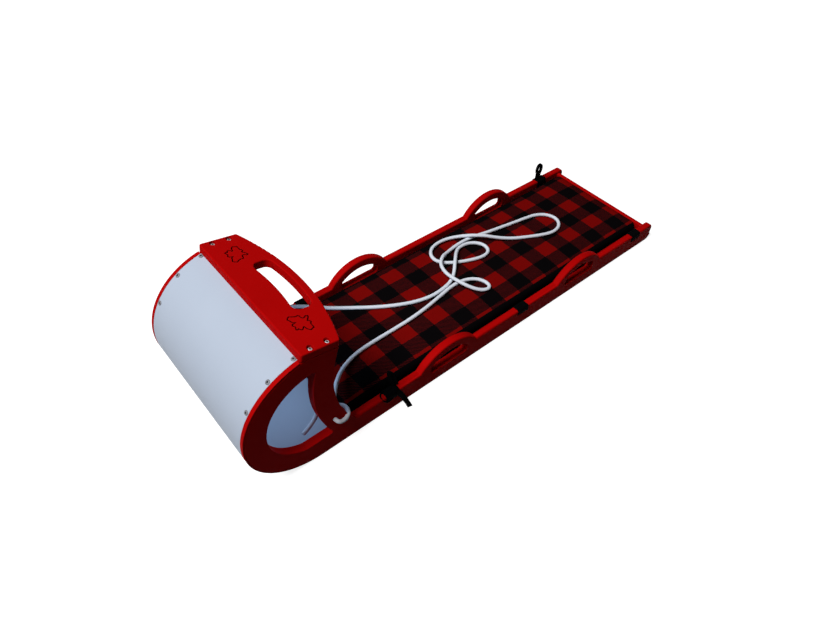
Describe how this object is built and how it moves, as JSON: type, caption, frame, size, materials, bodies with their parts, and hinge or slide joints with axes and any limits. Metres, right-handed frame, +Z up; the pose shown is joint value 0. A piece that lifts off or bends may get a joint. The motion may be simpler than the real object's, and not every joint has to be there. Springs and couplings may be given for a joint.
{
  "type": "toboggan",
  "caption": "Low toboggan with a curled front, a grip board over the curl, arched rail handles, a strapped-in checked cushion and a braided tow rope.",
  "frame": {"origin": "on the ground under the middle of the sled", "axes": "+X forward to the curl, +Y left, +Z up"},
  "size_m": [1.32, 0.392, 0.3414],
  "materials": {
    "red_plastic": "satin sheet plastic with routed edges",
    "white_sheet": "smooth satin sheet",
    "check_fabric": "woven red and black buffalo check",
    "black_webbing": "woven nylon webbing",
    "white_rope": "solid braided nylon"
  },
  "bodies": {
    "root": {"side_panel_left": "red_plastic", "side_panel_right": "red_plastic", "runner_sheet": "white_sheet", "grip_board": "red_plastic", "rear_crossbar": "red_plastic", "cushion": "check_fabric", "strap_left_front": "black_webbing", "strap_left_middle": "black_webbing", "strap_left_rear": "black_webbing", "strap_right_front": "black_webbing", "strap_right_rear": "black_webbing", "tow_rope": "white_rope", "rope_knot_left": "white_rope", "rope_knot_right": "white_rope", "rope_tail_left": "white_rope", "rope_tail_right": "white_rope"}
  },
  "joints": []
}
